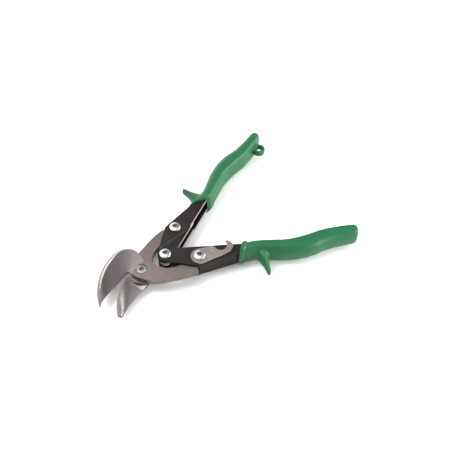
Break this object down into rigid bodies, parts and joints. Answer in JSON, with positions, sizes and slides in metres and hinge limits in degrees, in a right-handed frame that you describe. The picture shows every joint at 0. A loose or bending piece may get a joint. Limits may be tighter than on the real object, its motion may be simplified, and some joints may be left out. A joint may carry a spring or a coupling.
{
  "type": "aviation snips",
  "caption": "Compound-action sheet metal snips with offset curved jaws, pressed channel handles, sleeve grips with finger guards, a hook latch and a hanging loop.",
  "frame": {"origin": "on the blade pivot axis, at the plane the tool rests on when it lies flat (the outer face of the pivot bolt and nut)", "axes": "+X along the symmetry line of the linkage from the blade pivot towards the handles, +Y towards the upper handle (the one with the hanging loop), +Z along the pivot axes towards the bolt heads"},
  "size_m": [0.2119, 0.1492, 0.0229],
  "materials": {
    "blade_steel": "forged and ground, satin with brighter bevels",
    "black_steel": "black oxide, satin",
    "green_vinyl": "satin moulded vinyl",
    "zinc": "bright zinc plate",
    "latch_steel": "tumbled stamped plate",
    "spring_steel": "oiled wire",
    "turned_steel": "turned"
  },
  "bodies": {
    "lower_handle": {"lower_channel": "black_steel", "lower_grip": "green_vinyl", "handle_bolt": "zinc", "handle_nut": "zinc", "handle_sleeve": "turned_steel", "return_spring": "spring_steel", "lower_link_bolt": "zinc", "lower_link_nut": "zinc", "lower_link_spacer": "turned_steel", "lower_lock_washers": "zinc", "latch_washer": "zinc"},
    "upper_handle": {"upper_channel": "black_steel", "upper_grip": "green_vinyl", "upper_link_bolt": "zinc", "upper_link_nut": "zinc", "upper_link_spacer": "turned_steel", "upper_lock_washer": "zinc"},
    "front_blade": {"front_blade": "blade_steel", "pivot_bolt": "zinc", "pivot_washer": "zinc", "pivot_nut": "zinc"},
    "rear_blade": {"rear_blade": "blade_steel"},
    "latch": {"latch": "latch_steel"}
  },
  "joints": [
    {"name": "handle_pivot", "type": "hinge", "parent": "lower_handle", "child": "upper_handle", "pos_m": [0.0224, 0, 0.011], "axis": [0, 0, -1], "range_deg": [0, 41], "stiffness_Nm_per_rad": 0.6, "springref_deg": -40.11, "deforming": ["return_spring"]},
    {"name": "lower_link", "type": "hinge", "parent": "lower_handle", "child": "front_blade", "pos_m": [0.0435, -0.0186, 0.011], "axis": [0, 0, -1], "range_deg": [0, 9.74]},
    {"name": "blade_pivot", "type": "hinge", "parent": "front_blade", "child": "rear_blade", "pos_m": [0, 0, 0.011], "axis": [0, 0, -1], "range_deg": [0, 21.53]},
    {"name": "latch_pivot", "type": "hinge", "parent": "lower_handle", "child": "latch", "pos_m": [0.0435, -0.0186, 0.0197], "axis": [0, 0, 1], "range_deg": [0, 72]}
  ],
  "couplings": [
    {"joint": "lower_link", "follows": "handle_pivot", "ratio": 0.2375},
    {"joint": "blade_pivot", "follows": "handle_pivot", "ratio": 0.525}
  ]
}
